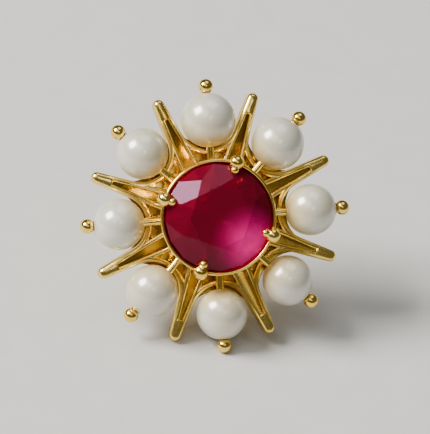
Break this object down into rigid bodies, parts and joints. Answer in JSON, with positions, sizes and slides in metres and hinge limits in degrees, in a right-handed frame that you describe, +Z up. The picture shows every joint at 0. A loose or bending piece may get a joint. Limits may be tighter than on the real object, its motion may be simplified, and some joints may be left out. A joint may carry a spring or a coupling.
{
  "type": "nose pin",
  "caption": "Gold flower nose pin with a round faceted ruby in a clawed collet, seed pearls on radial pins between split rays, and a straight post behind.",
  "frame": {"origin": "bottom centre of the bounding box, on the surface that the stud lies on", "axes": "+Z up; the flower faces -Y and upwards, its widest direction lies along X, and the post runs down towards +Y"},
  "size_m": [0.0128, 0.011, 0.0106],
  "materials": {
    "gold": "polished yellow gold",
    "ruby": "polished facets, deep red",
    "pearl": "soft white lustre"
  },
  "bodies": {
    "root": {"setting": "gold", "post": "gold", "ruby": "ruby", "pearl_1": "pearl", "pearl_2": "pearl", "pearl_3": "pearl", "pearl_4": "pearl", "pearl_5": "pearl", "pearl_6": "pearl", "pearl_7": "pearl", "pearl_8": "pearl"}
  },
  "joints": []
}
